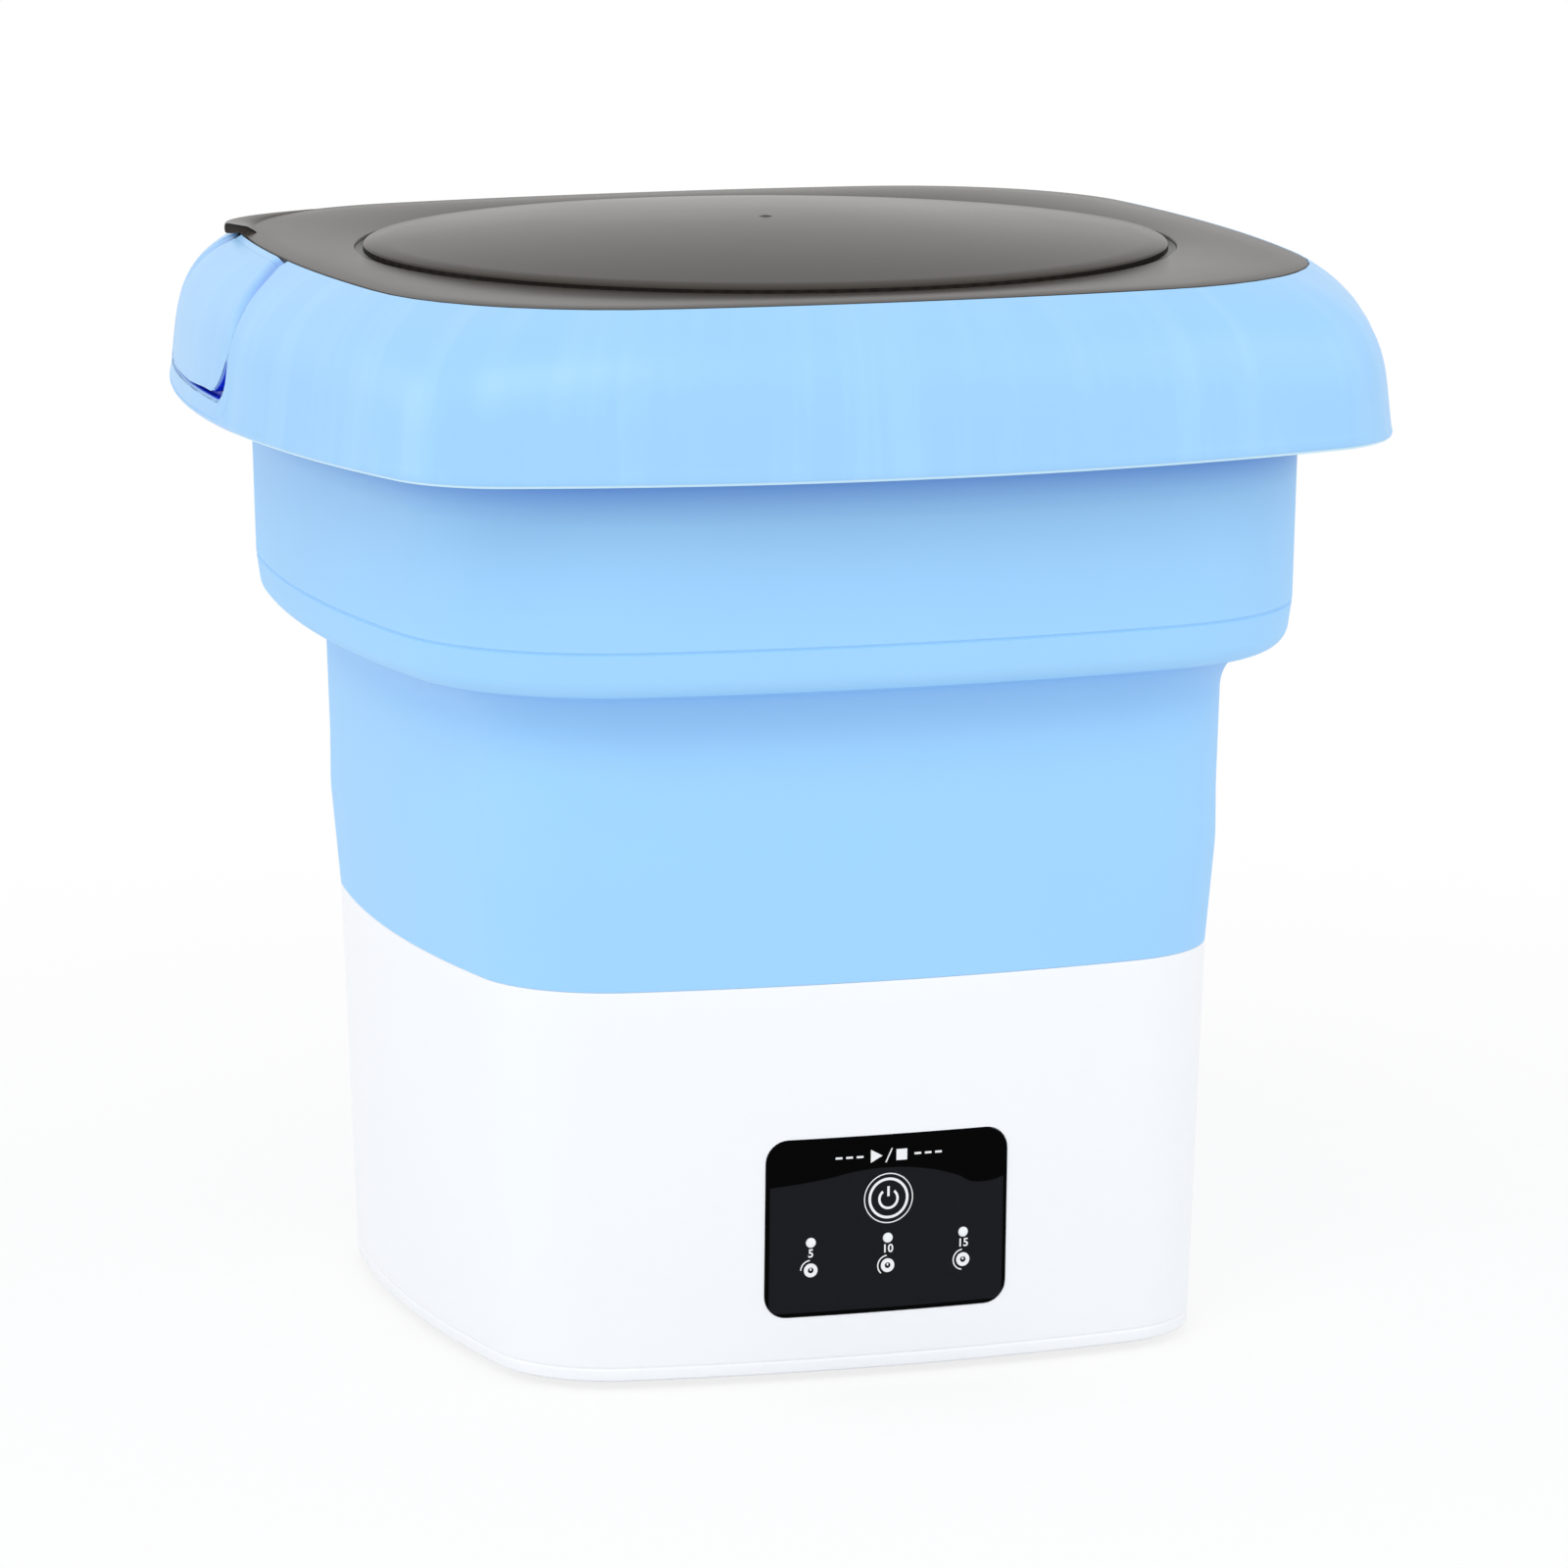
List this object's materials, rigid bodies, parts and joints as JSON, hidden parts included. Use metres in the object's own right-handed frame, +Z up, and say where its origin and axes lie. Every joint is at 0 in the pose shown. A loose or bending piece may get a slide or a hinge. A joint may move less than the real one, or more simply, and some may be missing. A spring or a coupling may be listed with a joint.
{
  "type": "folding bucket washer",
  "caption": "Small top loading bucket washer with a white square base, a soft blue tub wall that folds down, a blue rim with a flap handle and a smoked lift-off lid.",
  "frame": {"origin": "on the floor under the middle of the base", "axes": "+Z up, -Y is the front with the control panel, -X is the side with the flap handle, +Y is the back with the drain"},
  "size_m": [0.329, 0.329, 0.3188],
  "materials": {
    "white_gloss": "smooth white",
    "white_inner": "smooth white",
    "blue_soft": "soft satin light blue",
    "blue_hard": "smooth light blue",
    "smoke_lid": "smoked grey, glossy",
    "black_gloss": "black, glossy",
    "black_plain": "black",
    "lamp": "clear lamp lens",
    "board_green": "circuit board",
    "cream_plain": "moulded plastic",
    "gear_white": "nylon",
    "steel": "bright",
    "motor_steel": "plated",
    "magnet": "dark ferrite",
    "bronze": "sintered bronze or brass",
    "rubber_dark": "black rubber",
    "rubber_grey": "grey rubber"
  },
  "bodies": {
    "base": {"base_housing": "white_gloss", "bottom_cover": "white_gloss", "rubber_feet": "rubber_grey", "cover_screws": "steel", "tub_pan": "white_inner", "bellows_lower": "blue_soft", "gearbox_housing": "cream_plain", "gearbox_screws": "steel", "upper_bearing": "bronze", "lower_bearing": "bronze", "shaft_seal": "rubber_dark", "motor_can": "motor_steel", "motor_magnets": "magnet", "motor_end_cap": "black_plain", "motor_bushing": "bronze", "motor_screws": "steel", "control_panel": "black_gloss", "indicator_leds": "lamp", "control_board": "board_green", "board_screws": "steel", "board_connectors": "cream_plain", "tact_switch": "black_plain", "motor_leads": "rubber_dark", "power_leads": "rubber_dark", "drain_spout": "white_inner", "drain_strainer": "white_inner", "power_socket": "black_plain"},
    "rim": {"rim_frame": "blue_hard", "bellows_upper": "blue_soft", "clamp_ring": "blue_hard", "clamp_screws": "steel", "handle_pins": "steel"},
    "lid": {"lid": "smoke_lid"},
    "handle": {"carry_handle": "blue_hard"},
    "pulsator": {"pulsator": "white_inner", "pulsator_screw": "steel", "pulsator_cap": "white_inner", "drive_shaft": "steel", "drive_gear": "gear_white"},
    "rotor": {"motor_shaft": "steel", "motor_rotor": "motor_steel", "pinion_gear": "bronze"},
    "button": {"power_button": "black_gloss"},
    "drain_plug": {"drain_plug": "rubber_grey"}
  },
  "joints": [
    {"name": "tub_fold", "type": "slide", "parent": "base", "child": "rim", "axis": [0, 0, -1], "range_m": [0, 0.146], "deforming": ["bellows_lower", "bellows_upper"]},
    {"name": "lid_lift", "type": "slide", "parent": "rim", "child": "lid", "axis": [0, 0, 1], "range_m": [0, 0.2]},
    {"name": "handle_hinge", "type": "hinge", "parent": "rim", "child": "handle", "pos_m": [-0.14663, 0.04331, 0.293], "axis": [0.109, 0.994, 0], "range_deg": [0, 20]},
    {"name": "pulsator_spin", "type": "hinge", "parent": "base", "child": "pulsator", "pos_m": [0, 0, 0.09], "axis": [0, 0, 1], "continuous": true},
    {"name": "motor_spin", "type": "hinge", "parent": "base", "child": "rotor", "pos_m": [0.03, 0, 0.04], "axis": [0, 0, 1], "continuous": true},
    {"name": "power_button_press", "type": "slide", "parent": "base", "child": "button", "axis": [0, 1, 0], "range_m": [0, 0.0007], "stiffness_N_per_m": 1200},
    {"name": "drain_plug_pull", "type": "slide", "parent": "base", "child": "drain_plug", "axis": [0, 1, 0], "range_m": [0, 0.03]}
  ],
  "couplings": [
    {"joint": "motor_spin", "follows": "pulsator_spin", "ratio": -4}
  ]
}
